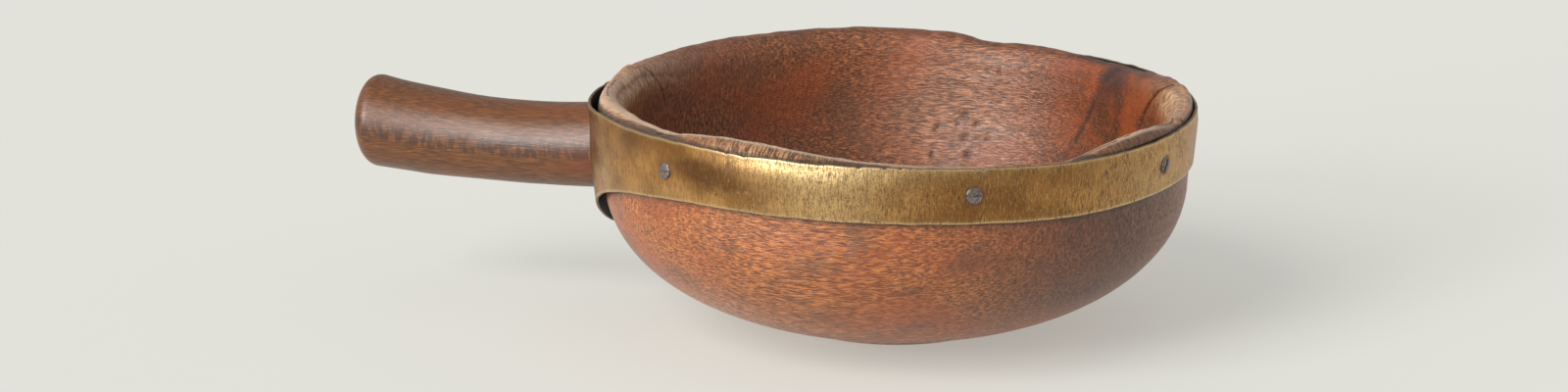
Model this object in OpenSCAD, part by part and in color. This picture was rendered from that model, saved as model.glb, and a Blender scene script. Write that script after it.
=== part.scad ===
// Carved wooden bowl with a stout round side handle and a brass hoop screwed round the rim.
// Millimetres. The origin is the centre of the flat base, +Z is up and the handle points along -X.

/* [Bowl] */
// Radius of the flat base that the bowl stands on
base_r = 28; // [24:1:34]
// Outside radius where the round belly meets the wall under the hoop
belly_r = 91; // [90:0.25:91]
// Height of the top of the belly
belly_z = 49; // [48:0.5:50]
// Thickness of the wood in the middle of the bottom
floor_t = 8.5; // [7:0.5:12]
// Radius of the cavity at the top of its round part
cavity_r = 84.5; // [82:0.5:85]
// Mean height of the rim, which is carved on a tilt
rim_z = 74; // [73:0.25:74.5]
// How much the rim rises and falls either side of its mean height
rim_rise = 4.1; // [2:0.1:4.5]
// Direction of the highest side of the rim, in degrees from +X
rim_high_side = 130; // [100:5:160]

/* [Hoop] */
// Outside radius of the hoop at its reference height
hoop_r = 95; // [95:0.1:95.6]
// Thickness of the brass sheet
hoop_t = 0.9; // [0.7:0.1:0.9]
// Width of the hoop from its top edge to its bottom edge
hoop_w = 16.8; // [16:0.2:18]
// How far the apron under the handle drops below the rest of the hoop
apron_drop = 28; // [20:1:30]
// Half-width of the apron, in degrees round the hoop
apron_half = 29; // [20:1:32]

/* [Handle] */
// Length of the handle outside the hoop
grip_l = 83.3; // [70:1:100]
// Radius of the handle where it meets the hoop
grip_r = 13.8; // [13:0.1:14]
// Height of the handle's axis where it meets the hoop
grip_z = 51.3; // [50:0.1:52]
// Radius of the round tenon that goes through the hoop and the wall
tenon_r = 8; // [7:0.25:9]
// Depth of the rounded end of the handle
grip_end = 7; // [5:0.5:9]

/* [Fasteners] */
// Diameter of a screw head
screw_head_d = 4.9; // [4.5:0.1:5.2]
// Diameter of a screw shank
screw_d = 2.4; // [2:0.1:2.6]
// Length of a screw under its head
screw_l = 7; // [5.5:0.5:7]
// Diameter of a rivet head
rivet_head_d = 4.6; // [4:0.1:5]

/* [Hidden] */
$fn = 180;

// Clearance between pieces that touch
gap = 0.05;
// Largest reach of the cutting shapes
reach = 120;

// The belly is a superellipse that ends at the foot, a little above the floor
belly_depth = 49.3;
belly_power = 2.15;
foot_z = 3;
// The wall and the hoop lean out by this much for each millimetre of height
lean = 0.1;

// The cavity is a superellipse too, with nearly straight walls above it
cavity_z = 60;
cavity_power = 2.4;
cavity_lean = 0.05;
// The top of the rim is crowned: half its width and the drop at its edges
crown_half = 4.2;
crown_drop = 1.5;
rim_mid_r = 89;

// The hoop sits a little towards the handle, so a gap shows between it and the wood there
hoop_x = -0.6;
hoop_ref_z = 71;
// Mean height of the hoop's top edge, how much the edge rises and falls, and its highest direction
hoop_top = 71;
hoop_tilt = 1.3;
hoop_high_side = 150;
apron_power = 1.4;
// The strip's ends lap at the back, where two rivets hold them
seam_at = 84;
lap_angle = 9;
rivet_spread = 8;
rivet_d = 2;

// Direction of each screw round the hoop, and the turn of its slot, in degrees
screws = [[239, 4], [299.5, -3], [345, 55], [41, 20], [126, -35]];
screw_recess = 0.45;
screw_dome = 0.35;
slot_w = 0.7;
slot_depth = 0.5;

// The handle's axis sags and then rises, and its radius swells to the end
grip_slope = -0.07;
grip_curve = 0.00145;
waist = -0.03;
swell = 0.0006;
grip_end_power = 2.3;
grip_facets = 40;
root_x = hoop_x - hoop_r;
// The wedge that spreads the tenon from inside the bowl
wedge_tip_x = -97;
wedge_mouth_x = -78;
wedge_tip_t = 0.7;
wedge_mouth_t = 3;
wedge_h = 15;

brown = "#8a5233";
light_brown = "#a9704a";
brass = "#b08a4e";
steel = "#8c8c8c";

// Outside radius of the wood at height z
function wood_r(z) = z < belly_z
    ? belly_r * pow(1 - pow((belly_z - z) / belly_depth, belly_power), 1 / belly_power)
    : belly_r + lean * (z - belly_z);

// Radius of the cavity at height z
function inside_r(z) = z < cavity_z
    ? cavity_r * pow(1 - pow((cavity_z - z) / (cavity_z - floor_t), cavity_power), 1 / cavity_power)
    : cavity_r + cavity_lean * (z - cavity_z);

// Outside radius of the hoop's cone at height z
function hoop_at(z) = hoop_r + lean * (z - hoop_ref_z);

// Height of the hoop's top edge in the direction a
function hoop_top_z(a) = hoop_top + hoop_tilt * cos(a - hoop_high_side);

// How far the apron drops, d degrees away from the handle: nothing at a quarter turn
function apron_fade(d) = exp(-pow(abs(d) / apron_half, apron_power));
function apron(d) = apron_drop * (apron_fade(d) - apron_fade(90));

// Height of the handle's axis and its radius, s millimetres out from the hoop
function grip_axis_z(s) = grip_z + grip_slope * s + grip_curve * s * s;
function grip_radius(s) = grip_r + waist * s + swell * s * s;
function end_factor(u) = pow(1 - pow(u, grip_end_power), 1 / grip_end_power);

// Distances along the handle of the rings before its rounded end, and steps round the end
grip_rings = [for (s = [-6 : 7.5 : grip_l - grip_end]) s];
end_steps = [for (a = [0 : 11.25 : 78.75]) sin(a)];
last_s = grip_l - grip_end;

module cavity() {
    steps = 26;
    top = rim_z + 20;
    rotate_extrude()
        polygon(concat(
            [[0, top], [0, floor_t]],
            [for (i = [1 : steps]) let (z = floor_t + (cavity_z - floor_t) * pow(i / steps, 2)) [inside_r(z), z]],
            [[inside_r(top), top]]
        ));
}

// Ring that takes away everything above the crowned, tilted rim
module rim_cutter() {
    steps = 10;
    inner = rim_mid_r - 1.8 * crown_half;
    outer = rim_mid_r + 1.8 * crown_half;
    translate([0, 0, rim_z])
        rotate(a = atan(rim_rise / rim_mid_r), v = [sin(rim_high_side), -cos(rim_high_side), 0])
            rotate_extrude()
                polygon(concat(
                    [for (i = [0 : steps]) let (r = inner + (outer - inner) * i / steps)
                        [r, -crown_drop * pow((r - rim_mid_r) / crown_half, 2)]],
                    [[outer, 30], [inner, 30]]
                ));
}

module tenon_hole(r) {
    translate([-reach, 0, grip_z])
        rotate([0, 90, 0])
            cylinder(r = r, h = reach - 60);
}

// Puts its children at the middle of the hoop's width in the direction a, with +X pointing outwards
module on_hoop(a, up = 0) {
    z = hoop_top_z(a) - hoop_w / 2 + up;
    translate([hoop_x, 0, z])
        rotate([0, 0, a])
            translate([hoop_at(z), 0, 0])
                rotate([0, -atan(lean), 0])
                    children();
}

module along_x(from, to, r) {
    translate([from, 0, 0])
        rotate([0, 90, 0])
            cylinder(r = r, h = to - from);
}

module bowl() {
    steps = 28;
    top = rim_z + 10;
    color(light_brown)
        difference() {
            rotate_extrude()
                polygon(concat(
                    [[0, 0], [base_r, 0]],
                    [for (i = [0 : steps]) let (z = foot_z + (belly_z - foot_z) * pow(i / steps, 1.6)) [wood_r(z), z]],
                    [[wood_r(top), top], [0, top]]
                ));
            cavity();
            rim_cutter();
            tenon_hole(tenon_r + gap);
            for (s = screws)
                on_hoop(s[0])
                    along_x(-screw_l - 1.5, 4, screw_d / 2 + gap);
        }
}

// Puts its children in the tilted frame of the hoop's edges, with the top edge at height 0
module at_hoop_top() {
    translate([0, 0, hoop_top])
        rotate(a = atan(hoop_tilt / hoop_r), v = [sin(hoop_high_side), -cos(hoop_high_side), 0])
            children();
}

// Everything above the top edge
module above_hoop() {
    translate([-reach, -reach, 0])
        cube([2 * reach, 2 * reach, reach]);
}

// Everything below the bottom edge: straight on the far side, with the apron's outline on the handle side
module below_hoop() {
    edge_r = hoop_at(hoop_top - hoop_w) - hoop_t;
    translate([0, -reach, -reach])
        cube([reach, 2 * reach, reach - hoop_w]);
    translate([-reach, 0, 0])
        rotate([90, 0, 90])
            linear_extrude(height = reach)
                polygon(concat(
                    [[-reach, -reach], [-reach, -hoop_w]],
                    [for (d = [-90 : 5 : 90]) [edge_r * sin(d), -hoop_w - apron(d)]],
                    [[reach, -hoop_w], [reach, -reach]]
                ));
}

// A cone of sheet between two depths under the hoop's outside face
module hoop_sheet(from_depth, to_depth, angle) {
    low = 20;
    high = 80;
    rotate_extrude(angle = angle)
        polygon([
            [hoop_at(low) - to_depth, low],
            [hoop_at(low) - from_depth, low],
            [hoop_at(high) - from_depth, high],
            [hoop_at(high) - to_depth, high]
        ]);
}

module brass_hoop() {
    color(brass)
        difference() {
            translate([hoop_x, 0, 0]) {
                hoop_sheet(0, hoop_t, 360);
                rotate([0, 0, seam_at - lap_angle / 2])
                    hoop_sheet(-hoop_t, hoop_t / 2, lap_angle);
            }
            translate([hoop_x, 0, 0])
                at_hoop_top() {
                    above_hoop();
                    below_hoop();
                }
            tenon_hole(tenon_r + 4 * gap);
            for (s = screws)
                on_hoop(s[0]) {
                    along_x(-3, 3, screw_d / 2 + 2 * gap);
                    along_x(-screw_recess, 3, screw_head_d / 2 + 3 * gap);
                }
            for (up = [-rivet_spread / 2, rivet_spread / 2])
                on_hoop(seam_at, up)
                    along_x(-3, 3, rivet_d / 2 + gap);
        }
}

// Solid cone that the root of the handle is coped to
module hoop_outside() {
    translate([hoop_x, 0, 0])
        rotate_extrude()
            polygon([[0, 0], [hoop_at(0) + gap, 0], [hoop_at(reach) + gap, reach], [0, reach]]);
}

// The grip is a swept round bar with a rounded end
module grip() {
    sections = concat(
        [for (s = grip_rings) [s, grip_radius(s)]],
        [for (u = end_steps) [last_s + grip_end * u, grip_radius(last_s + grip_end * u) * end_factor(u)]]
    );
    n = grip_facets;
    m = len(sections);
    points = concat(
        [for (c = sections) for (k = [0 : n - 1])
            [root_x - c[0], c[1] * cos(360 * k / n), grip_axis_z(c[0]) + c[1] * sin(360 * k / n)]],
        [[root_x + 6, 0, grip_axis_z(-6)], [root_x - grip_l, 0, grip_axis_z(grip_l)]]
    );
    sides = [for (j = [0 : m - 2]) for (k = [0 : n - 1]) for (half = [0, 1])
        let (a = j * n + k, b = j * n + (k + 1) % n)
        half == 0 ? [a, b, b + n] : [a, b + n, a + n]];
    root_cap = [for (k = [0 : n - 1]) [m * n, (k + 1) % n, k]];
    end_cap = [for (k = [0 : n - 1]) [m * n + 1, (m - 1) * n + k, (m - 1) * n + (k + 1) % n]];
    polyhedron(points = points, faces = concat(sides, root_cap, end_cap));
}

// The wedge, or with some play the kerf that it is driven into
module wedge(play, height) {
    translate([0, 0, grip_z])
        linear_extrude(height = height, center = true)
            polygon([
                [wedge_tip_x - play, -wedge_tip_t / 2 - play],
                [wedge_tip_x - play, wedge_tip_t / 2 + play],
                [wedge_mouth_x, wedge_mouth_t / 2 + play],
                [wedge_mouth_x, -wedge_mouth_t / 2 - play]
            ]);
}

module handle() {
    color(brown) {
        difference() {
            grip();
            hoop_outside();
        }
        difference() {
            translate([root_x - 10, 0, grip_z])
                along_x(0, 40, tenon_r);
            wedge(gap, 4 * tenon_r);
            cavity();
        }
    }
}

module tenon_wedge() {
    color(light_brown)
        difference() {
            wedge(0, wedge_h);
            cavity();
        }
}

// Outline of a low dome on a disc of radius r, from its rim to its middle, starting at height z
function dome(r, h, z) = [for (a = [0 : 15 : 90]) [r * cos(a), z + h * sin(a)]];

// Turns an outline round the X axis, with the outline's height pointing along +X
module turned(outline) {
    rotate([0, 90, 0])
        rotate_extrude()
            polygon(outline);
}

// Slotted screw with a low domed head let into the brass and a pointed shank
module hoop_screw(place) {
    point = 1.6;
    seat = gap - screw_recess;
    color(steel)
        on_hoop(place[0])
            difference() {
                turned(concat(
                    [[0, -screw_l], [0.2, -screw_l], [screw_d / 2, point - screw_l]],
                    [[screw_d / 2, seat], [screw_head_d / 2, seat]],
                    dome(screw_head_d / 2, screw_dome, 0)
                ));
                translate([screw_dome, 0, 0])
                    rotate([place[1], 0, 0])
                        cube([2 * slot_depth, screw_head_d + 1, slot_w], center = true);
            }
}

// Rivet with a domed head on the outside of the lap and its shank flush inside
module seam_rivet(up) {
    seat = hoop_t + gap;
    color(brass)
        on_hoop(seam_at, up)
            turned(concat(
                [[0, -hoop_t], [rivet_d / 2, -hoop_t], [rivet_d / 2, seat]],
                dome(rivet_head_d / 2, 1, seat)
            ));
}

bowl();
handle();
tenon_wedge();
brass_hoop();
for (i = [0 : len(screws) - 1])
    hoop_screw(screws[i]);
seam_rivet(-rivet_spread / 2);  // seam_rivet_1
seam_rivet(rivet_spread / 2);  // seam_rivet_2
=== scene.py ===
import math
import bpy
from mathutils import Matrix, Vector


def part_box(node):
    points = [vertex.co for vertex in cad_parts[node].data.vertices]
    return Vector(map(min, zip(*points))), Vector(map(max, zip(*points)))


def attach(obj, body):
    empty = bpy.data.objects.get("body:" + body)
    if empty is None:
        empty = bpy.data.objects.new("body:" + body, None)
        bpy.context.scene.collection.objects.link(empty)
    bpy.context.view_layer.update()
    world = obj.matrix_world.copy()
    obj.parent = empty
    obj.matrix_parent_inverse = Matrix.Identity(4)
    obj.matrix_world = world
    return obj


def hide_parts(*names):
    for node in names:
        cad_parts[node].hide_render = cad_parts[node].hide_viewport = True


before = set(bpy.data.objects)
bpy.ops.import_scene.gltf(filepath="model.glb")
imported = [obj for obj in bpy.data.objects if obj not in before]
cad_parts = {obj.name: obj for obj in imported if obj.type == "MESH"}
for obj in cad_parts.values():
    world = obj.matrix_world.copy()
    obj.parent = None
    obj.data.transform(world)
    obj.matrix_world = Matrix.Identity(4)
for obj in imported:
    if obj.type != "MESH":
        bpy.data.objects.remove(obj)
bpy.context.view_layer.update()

from types import SimpleNamespace

import bpy
import numpy as np
from mathutils import Vector

# Everything below is worked out in millimetres and turned into metres when a mesh is made.
# Directions are in degrees, anticlockwise from +X seen from above. The handle points to 180.
MM = 0.001
ALL = math.inf

# ---------------------------------------------------------------- sizes, from the frame and as in the CAD
HOOP_LOW, HOOP_HIGH = [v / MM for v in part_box("brass_hoop")]
HOOP_X = (HOOP_LOW.x + HOOP_HIGH.x) / 2
HANDLE_END_X = (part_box("handle")[0] / MM).x

BASE_R = 28.0
FOOT_Z = 3.0
BELLY_R = 91.0
BELLY_Z = 49.0
BELLY_DEPTH = 49.3
BELLY_POWER = 2.15
LEAN = 0.1
FLOOR_T = 8.5
CAVITY_R = 84.5
CAVITY_Z = 60.0
CAVITY_POWER = 2.4
CAVITY_LEAN = 0.05
# The rim's waves stay just below the top of the CAD's bowl
HIGHEST_Z = 78.0

HOOP_R = 95.0
HOOP_REF_Z = 71.0
HOOP_T = 0.9
HOOP_W = 16.8
APRON_DROP = 28.0
APRON_HALF = 29.0
APRON_POWER = 1.4
SEAM_AT = 84.0
LAP_ANGLE = 9.0
LAP_STEP = 0.3
SCREW_AT = (239, 299.5, 345, 41, 126)

HANDLE_AT = 180.0
GRIP_START_X = HOOP_X - HOOP_R
GRIP_L = GRIP_START_X - HANDLE_END_X
GRIP_R = 13.8
GRIP_Z = 51.3
GRIP_SLOPE = -0.07
GRIP_CURVE = 0.00145
WAIST = -0.03
SWELL = 0.0006
GRIP_END = 7.0
GRIP_END_POWER = 2.3
# The grip's root follows the hoop this far off it, and its curve dies out over this length
ROOT_GAP = 0.05
ROOT_FADE = 30.0
TENON_R = 8.0
# How far the tenon's end lies back from the cavity's surface
TENON_SUNK = 0.1

# ---------------------------------------------------------------- how hand work and wear shaped it
# Height of the wood's rim round the bowl: (direction, height)
RIM_WAVE = [
    (0, 71.6), (12, 72.3), (25, 73.7), (33, 73.3), (43, 72.2), (52, 71.9), (61, 72.4), (70, 73.4),
    (80, 73.6), (86.5, 73.9), (90.5, 75.5), (98, 76.6), (108, 77.3), (118, 77.4), (130, 77.1),
    (146, 76.5), (160, 75.5), (173, 75.0), (183, 74.0), (200, 74.1), (213, 74.0), (226, 73.1),
    (237, 72.5), (244, 73.6), (252, 74.1), (261, 73.2), (271, 71.5), (282, 69.9), (300, 68.4),
    (313, 67.6), (321, 68.2), (329, 70.9), (337, 72.3), (347, 72.4), (354, 71.8),
]
# Height of the hoop's top edge, which was never cut quite level
HOOP_WAVE = [
    (0, 70.4), (20, 71.2), (36, 71.9), (52, 72.3), (75, 72.2), (110, 71.8), (150, 71.3), (188, 71.2),
    (204, 72.1), (215, 72.6), (245, 72.2), (258, 71.3), (270, 70.7), (285, 70.0), (302, 69.4),
    (318, 68.7), (332, 69.1), (346, 69.9),
]
# Radius of the rim's inner edge: the end-grain sides were left thicker
RIM_INNER = [
    (0, 86.2), (22, 85.8), (38, 85.0), (60, 85.0), (120, 85.0), (155, 85.0), (175, 86.0),
    (195, 86.8), (215, 86.0), (240, 85.2), (270, 85.4), (315, 85.2), (340, 85.0),
]
# Where the ridge of the rim lies: 0 at the outside edge and 1 at the inside edge
RIM_RIDGE = [
    (0, 0.4), (28, 0.3), (50, 0.2), (150, 0.2), (180, 0.35), (205, 0.5), (240, 0.75), (300, 0.85),
    (325, 0.55), (345, 0.45),
]
# How far the rim falls from its ridge to the cavity's wall
RIM_FALL = [
    (0, 3.0), (28, 5), (50, 9), (150, 9), (172, 3.5), (190, 2.2), (240, 2.2), (300, 2.2), (325, 3.5),
    (345, 3.0),
]
# How much of the pale, worn look the rim has
RIM_PALE = [
    (0, 1.0), (22, 1.0), (30, 0.2), (60, 0.0), (150, 0.0), (168, 0.5), (180, 1.0), (225, 1.0),
    (245, 0.6), (300, 0.5), (322, 0.25), (352, 0.25), (356, 1.0),
]
# Steps in the rim where a crack has let one side move: height, the two directions between which the
# step rises, and the two between which it dies out
RIM_STEPS = [
    (-0.45, 24.5, 25.6, 25.6, 32),
    (0.5, 173.2, 173.8, 174, 185),
    (-0.6, 345, 354, 354.3, 355),
]

# Spacing of the bowl's columns, and where they lie closer together for cracks and knocks: from, to, step
COLUMN_STEP = 0.9
FINE_COLUMNS = [
    (22, 39, 0.15), (39, 63, 0.5), (63, 70, 0.25), (77, 99, 0.3), (163, 178, 0.15), (234, 240, 0.3),
    (350, 360, 0.2),
]

# Drying cracks: direction and height where each one starts, its drift in degrees per millimetre down,
# how that drift slows, its length, and its depth and half-width
CRACKS = [
    (25.6, 74.0, 1.10, -0.023, 22.0, 1.2, 0.70),
    (173.0, 76.3, -0.65, 0.014, 18.0, 0.5, 0.35),
    (66.4, 56.5, 0.60, -0.045, 10.0, 0.2, 0.35),
]
# Short checks that cross the rim: direction, slant in degrees from inner to outer edge, depth, half-width
RIM_CHECKS = [
    (25.6, -5.0, 1.0, 0.45),
    (173.5, 4.0, 1.0, 0.42),
    (354.5, 5.0, 0.9, 0.45),
    (237.0, -4.0, 0.5, 0.40),
]
# Knocks inside the bowl: direction, height, radius and depth
KNOCKS = [
    (89, 50, 2.2, 0.45), (90.5, 46.6, 1.7, 0.4), (95, 45.7, 1.8, 0.4), (86, 47, 1.9, 0.45),
    (88.5, 42.6, 2.3, 0.5), (83, 43, 2.0, 0.4), (87.5, 37.5, 2.4, 0.45), (96, 37, 2.0, 0.4),
    (81.3, 65, 1.0, 0.4),
]
# The dark streak down the inside: direction and height of its top, and its drift in degrees per millimetre
STREAK_TOP = (50.8, 71.7)
STREAK_DRIFT = 0.36
# The nick outside: direction and height, and how deep it goes
NICK = (357.0, 25.5)
NICK_DEPTH = 0.7
# Unevenness, for rough() below: height of each noise, the size of its features, its seed and its level
SLOW_CARVING = [(0.45, 38, 3, 0)]
RIM_ROUGH = [(0.22, 6, 5, 0), (0.12, 2.2, 8, 0)]
HOOP_TOP_ROUGH = [(0.16, 3.0, 31, 0), (0.22, 11, 32, 0)]
HOOP_LOW_ROUGH = [(0.15, 5, 33, 0)]
HOOP_DENTS = [(0.22, 21, 41, 0.4), (0.06, 6, 42, 0.6)]
GRIP_ROUGH = [(0.22, 17, 51, 0.6), (0.05, 5, 52, 0)]
TOOL_MARKS = [(0.07, 9, 11, 0)]
# How far the arris at the grip's root is eased, the hoop's top edge tapped in, and each screw sunk in a dish
ARRIS_EASE = 0.5
TAPPED_IN = 0.75
SCREW_DISH = 0.35
# Nicks in the hoop's top edge: direction, half-width in degrees and depth
HOOP_NICKS = [
    (254, 0.25, 0.3), (257.5, 0.3, 0.3), (279, 0.3, 0.8), (283.5, 0.25, 0.7), (286.3, 0.3, 0.5),
    (288.2, 0.25, 0.5), (289.8, 0.3, 0.35), (301.2, 0.3, 0.7), (31, 0.4, 0.6), (152, 0.4, 0.5),
]

# Soft patches, for patches() below: strength, direction and half-width in degrees, and for those that
# don't run the whole height also their middle's height, half-height and slant in degrees per millimetre
# How far the rim falls from its ridge to the outer wall, in millimetres: all round, and more at the ends
OUTER_FALL = 3.2
OUTER_FALL_MORE = [(2.6, 192, 18), (2.6, 12, 15)]
# How much thicker the wall is below the rim, and how far it has shrunk away from the hoop
SHOULDER = [(2.6, 190, 26), (2.2, 8, 20)]
SHRUNK = [(1.0, 195, 14), (1.1, 350, 28)]
# The painted highlight along the rim's crest: where it shows, its reach outside the ridge, and how much less
CREST_SHOWN = [(1.0, 250, 50), (1.0, 338, 12)]
CREST_REACH = 1.3
CREST_NARROW = [(1.1, 337, 17)]
# The rim's darker roll, its comb of tool marks, and the side away from its far, dark part
ROLL = [(1.0, 337, 17)]
TEETH = [(1.0, 260, 17)]
NEAR_SIDE = [(1.0, 280, 80)]
# Painted shade on the right of the outside, the red-brown part inside, and painted light that makes the wood
# paler inside and low on the outside
PAINTED_SHADE_RIGHT = [(1.0, 332, 30)]
DEEP = [(1.0, 47, 22)]
PAINTED_LIGHT_INSIDE = [(0.65, 90, 19, 50, 22, 0), (0.35, 158, 22, 60, 14, 0)]
PAINTED_SHEEN_OUTSIDE = [(0.7, 228, 22, 8, 16, 0)]
# The hoop: where it stands off, where its edge isn't tapped in, and where it has many specks or few marks
FLARE = [(1.1, 198, 15)]
UNROLLED = [(0.9, 195, 25)]
WORN = [(1.0, 276, 22)]
SMOOTH = [(1.0, 222, 28)]
# Its colours, with painted highlights and painted dark reflections: heights are depths below its top edge for
# the first two, and heights over its low edge for PALE
PAINTED_HIGHLIGHTS = [(1.0, 270, 12.5, 0, 5, 0), (0.5, 273, 11), (0.3, 287, 20, 0, 3, 0)]
PAINTED_DARK_REFLECTIONS = [(1.4, 250, 8.5, 8, 5, 0.7), (1.0, 203, 5), (0.6, 305, 14), (0.6, 228, 6, 3, 4, 0)]
PALE = [(0.7, 215, 3.5), (0.8, 345, 22), (0.5, 238, 14, 1, 4, 0)]


# ---------------------------------------------------------------- curves and noise
def ring_curve(points):
    """A smooth closed curve through (degrees, value) points, as a function of an array of degrees."""
    a = np.array([p[0] for p in points], float)
    v = np.array([p[1] for p in points], float)
    a = np.concatenate([a[-2:] - 360, a, a[:2] + 360])
    v = np.concatenate([v[-2:], v, v[:2]])
    slope = np.zeros_like(v)
    slope[1:-1] = (v[2:] - v[:-2]) / (a[2:] - a[:-2])

    def at(degrees):
        x = np.mod(np.asarray(degrees, float), 360)
        i = np.clip(np.searchsorted(a, x, side="right") - 1, 1, len(a) - 3)
        h = a[i + 1] - a[i]
        t = (x - a[i]) / h
        return (
            v[i] * (2 * t ** 3 - 3 * t ** 2 + 1)
            + slope[i] * h * (t ** 3 - 2 * t ** 2 + t)
            + v[i + 1] * (3 * t ** 2 - 2 * t ** 3)
            + slope[i + 1] * h * (t ** 3 - t ** 2)
        )

    return at


rim_top = ring_curve(RIM_WAVE)
hoop_top = ring_curve(HOOP_WAVE)
rim_inner = ring_curve(RIM_INNER)
rim_ridge = ring_curve(RIM_RIDGE)
rim_fall = ring_curve(RIM_FALL)
rim_pale = ring_curve(RIM_PALE)


def angle_gap(a, b):
    """Signed difference of two directions in degrees, from -180 to 180."""
    return np.mod(a - b + 180, 360) - 180


def smooth_step(x, low, high):
    """0 below low, 1 above high and an even S between them."""
    t = np.clip((x - low) / (high - low), 0, 1)
    return t * t * (3 - 2 * t)


def between(x, start, full, fade, gone):
    """Rises from 0 at start to 1 at full, and falls from fade to gone."""
    return smooth_step(x, start, full) * (1 - smooth_step(x, fade, gone))


def hill(d, width):
    """1 where d is 0, and falls off smoothly over about that width."""
    return np.exp(-(d / width) ** 2)


def patches(degrees, rows, up=0.0):
    """Sum of the soft patches of one of the tables above, at heights up."""
    total = 0.0
    for strength, at, width, *place in rows:
        middle, half, slant = place or (0, ALL, 0)
        aside = angle_gap(degrees, at + slant * (up - middle))
        total = total + strength * hill(aside, width) * hill(up - middle, half)
    return total


def lattice(ix, iy, iz, seed):
    """A fixed value from 0 to 1 for each point of a grid."""
    h = np.sin(ix * 12.9898 + iy * 78.233 + iz * 37.719 + seed * 4.581) * 4375.85453
    return h - np.floor(h)


def smooth_noise(x, y, z, size, seed):
    """Smooth noise from -1 to 1, with features of about that size."""
    q = [np.asarray(c, float) / size for c in (x, y, z)]
    i = [np.floor(c) for c in q]
    f = [(c - k) * (c - k) * (3 - 2 * (c - k)) for c, k in zip(q, i)]
    total = 0.0
    for dx in (0, 1):
        for dy in (0, 1):
            for dz in (0, 1):
                weight = (
                    (f[0] if dx else 1 - f[0])
                    * (f[1] if dy else 1 - f[1])
                    * (f[2] if dz else 1 - f[2])
                )
                total = total + weight * lattice(i[0] + dx, i[1] + dy, i[2] + dz, seed)
    return 2 * total - 1


def rough(x, y, z, layers):
    """Unevenness from one of the tables above: a sum of noises that each lie about their own level."""
    total = 0.0
    for height, size, seed, level in layers:
        total = total + height * (smooth_noise(x, y, z, size, seed) - level)
    return total


def wood_r(z):
    """Outside radius of the wood at height z."""
    t = np.clip((BELLY_Z - z) / BELLY_DEPTH, 0, 1)
    belly = BELLY_R * (1 - t ** BELLY_POWER) ** (1 / BELLY_POWER)
    return np.where(z < BELLY_Z, belly, BELLY_R + LEAN * (z - BELLY_Z))


def inside_r(z):
    """Radius of the cavity at height z."""
    t = np.clip((CAVITY_Z - z) / (CAVITY_Z - FLOOR_T), 0, 1)
    round_part = CAVITY_R * (1 - t ** CAVITY_POWER) ** (1 / CAVITY_POWER)
    return np.where(z < CAVITY_Z, round_part, CAVITY_R + CAVITY_LEAN * (z - CAVITY_Z))


def hoop_r(z):
    """Outside radius of the hoop's cone at height z, from the hoop's own centre."""
    return HOOP_R + LEAN * (z - HOOP_REF_Z)


def hoop_bottom(degrees):
    """Height of the hoop's low edge, with the apron that hangs down under the handle."""
    aside = np.abs(angle_gap(degrees, HANDLE_AT)) / APRON_HALF
    return hoop_top(degrees) - HOOP_W - APRON_DROP * np.exp(-aside ** APRON_POWER)


def hoop_face_x(y, z):
    """Where the handle meets the hoop's outer face, a hair off it."""
    return HOOP_X - np.sqrt(hoop_r(z) ** 2 - y ** 2) - ROOT_GAP


def cavity_face_x(y, z):
    """Where the tenon ends, a hair behind the cavity's surface."""
    return -np.sqrt(inside_r(z) ** 2 - y ** 2) - TENON_SUNK


def ring_point(radius, degrees):
    """x and y of points at a radius and a direction."""
    turn = np.radians(degrees)
    return radius * np.cos(turn), radius * np.sin(turn)


# ---------------------------------------------------------------- meshes
def make_object(name, points, faces, material, attributes):
    """An object with smooth shading and one value per point for each attribute."""
    mesh = bpy.data.meshes.new(name)
    mesh.from_pydata((np.asarray(points) * MM).tolist(), [], faces)
    for key, values in attributes.items():
        layer = mesh.attributes.new(key, "FLOAT", "POINT")
        layer.data.foreach_set("value", np.asarray(values, np.float32).ravel())
    mesh.polygons.foreach_set("use_smooth", [True] * len(mesh.polygons))
    mesh.update()
    piece = bpy.data.objects.new(name, mesh)
    bpy.context.scene.collection.objects.link(piece)
    piece.data.materials.append(material)
    return piece


def band_faces(rows, cols, closed_rows=False):
    """Quads of a grid stored row by row. Its columns close into a ring, and its rows too if asked."""
    r = np.arange(rows if closed_rows else rows - 1)
    rr, cc = np.meshgrid(r, np.arange(cols), indexing="ij")
    r2 = (rr + 1) % rows
    c2 = (cc + 1) % cols
    quads = np.stack([rr * cols + cc, rr * cols + c2, r2 * cols + c2, r2 * cols + cc], -1)
    return quads.reshape(-1, 4).tolist()


def fan_faces(centre, first, cols, turned):
    """Triangles from a centre point to the closed row of points that starts at index first."""
    faces = []
    for k in range(cols):
        here = first + k
        after = first + (k + 1) % cols
        faces.append([centre, after, here] if turned else [centre, here, after])
    return faces


# ---------------------------------------------------------------- the bowl
def bowl_directions():
    """Directions of the bowl's columns."""
    directions = []
    at = 0.0
    while at < 360 - 1e-6:
        directions.append(at)
        step = COLUMN_STEP
        for low, high, fine_step in FINE_COLUMNS:
            if low <= at < high:
                step = fine_step
        at += step
    return np.array(directions)


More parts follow.
